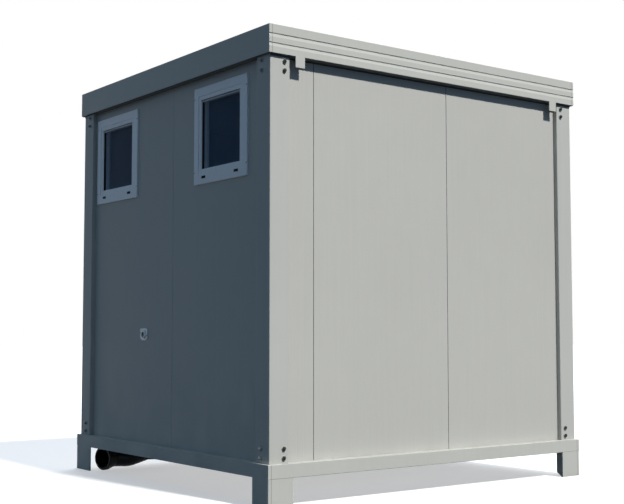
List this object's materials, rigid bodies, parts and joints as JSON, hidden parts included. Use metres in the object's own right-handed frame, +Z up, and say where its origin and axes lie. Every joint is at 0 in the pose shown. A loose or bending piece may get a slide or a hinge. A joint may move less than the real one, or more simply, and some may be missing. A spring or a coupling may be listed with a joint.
{
  "type": "sanitary container",
  "caption": "Small box-shaped sanitary container on angle legs, with folded corner posts, sandwich walls, high side windows, a profiled roof edge, a closed door and an underfloor drain.",
  "frame": {"origin": "centre of the bounding box at ground level, under the four legs", "axes": "+Z up; -Y is the front, with the profiled roof edge and plain panels; -X is the wall with the windows, the water inlet and the drain; +X is the door wall"},
  "size_m": [2.438, 2.3, 2.569],
  "materials": {
    "frame_paint": "satin pale grey paint on folded steel",
    "panel_paint": "satin pale grey coil coating on sandwich panels",
    "roof_paint": "satin pale grey coil coating, weathered",
    "galvanised_steel": "dull zinc coating",
    "floor_covering": "matte vinyl floor covering on board",
    "insulation": "matte rigid foam",
    "inner_lining": "satin white lining",
    "window_plastic": "satin white window plastic",
    "window_glass": "sealed double glazing, dark inside",
    "hinge_steel": "satin zinc",
    "handle_plastic": "matte black",
    "inlet_plastic": "satin pale grey",
    "drain_plastic": "matte black pipe plastic"
  },
  "bodies": {
    "root": {"leg_front_left": "frame_paint", "leg_front_right": "frame_paint", "leg_back_left": "frame_paint", "leg_back_right": "frame_paint", "floor_beam_front": "frame_paint", "floor_beam_back": "frame_paint", "floor_beam_left": "frame_paint", "floor_beam_right": "frame_paint", "floor_joists": "galvanised_steel", "floor_cassette": "galvanised_steel", "floor_deck": "floor_covering", "corner_post_front_left": "frame_paint", "corner_post_front_right": "frame_paint", "corner_post_back_left": "frame_paint", "corner_post_back_right": "frame_paint", "front_panel_1": "panel_paint", "front_panel_2": "panel_paint", "front_panel_3": "panel_paint", "back_panel_1": "panel_paint", "back_panel_2": "panel_paint", "back_panel_3": "panel_paint", "left_panel_front": "panel_paint", "left_panel_back": "panel_paint", "right_panel_front": "panel_paint", "right_panel_back": "panel_paint", "right_panel_over": "panel_paint", "roof_fascia_front": "frame_paint", "roof_fascia_back": "frame_paint", "roof_fascia_left": "frame_paint", "roof_fascia_right": "frame_paint", "roof_sheet": "roof_paint", "roof_core": "insulation", "ceiling_board": "inner_lining", "window_front_frame": "window_plastic", "window_front_sash": "window_plastic", "window_front_glass": "window_glass", "window_back_frame": "window_plastic", "window_back_sash": "window_plastic", "window_back_glass": "window_glass", "door_frame": "frame_paint", "door_leaf": "panel_paint", "door_hinges": "hinge_steel", "door_handle": "handle_plastic", "water_inlet": "inlet_plastic", "drain_pipe": "drain_plastic"}
  },
  "joints": []
}
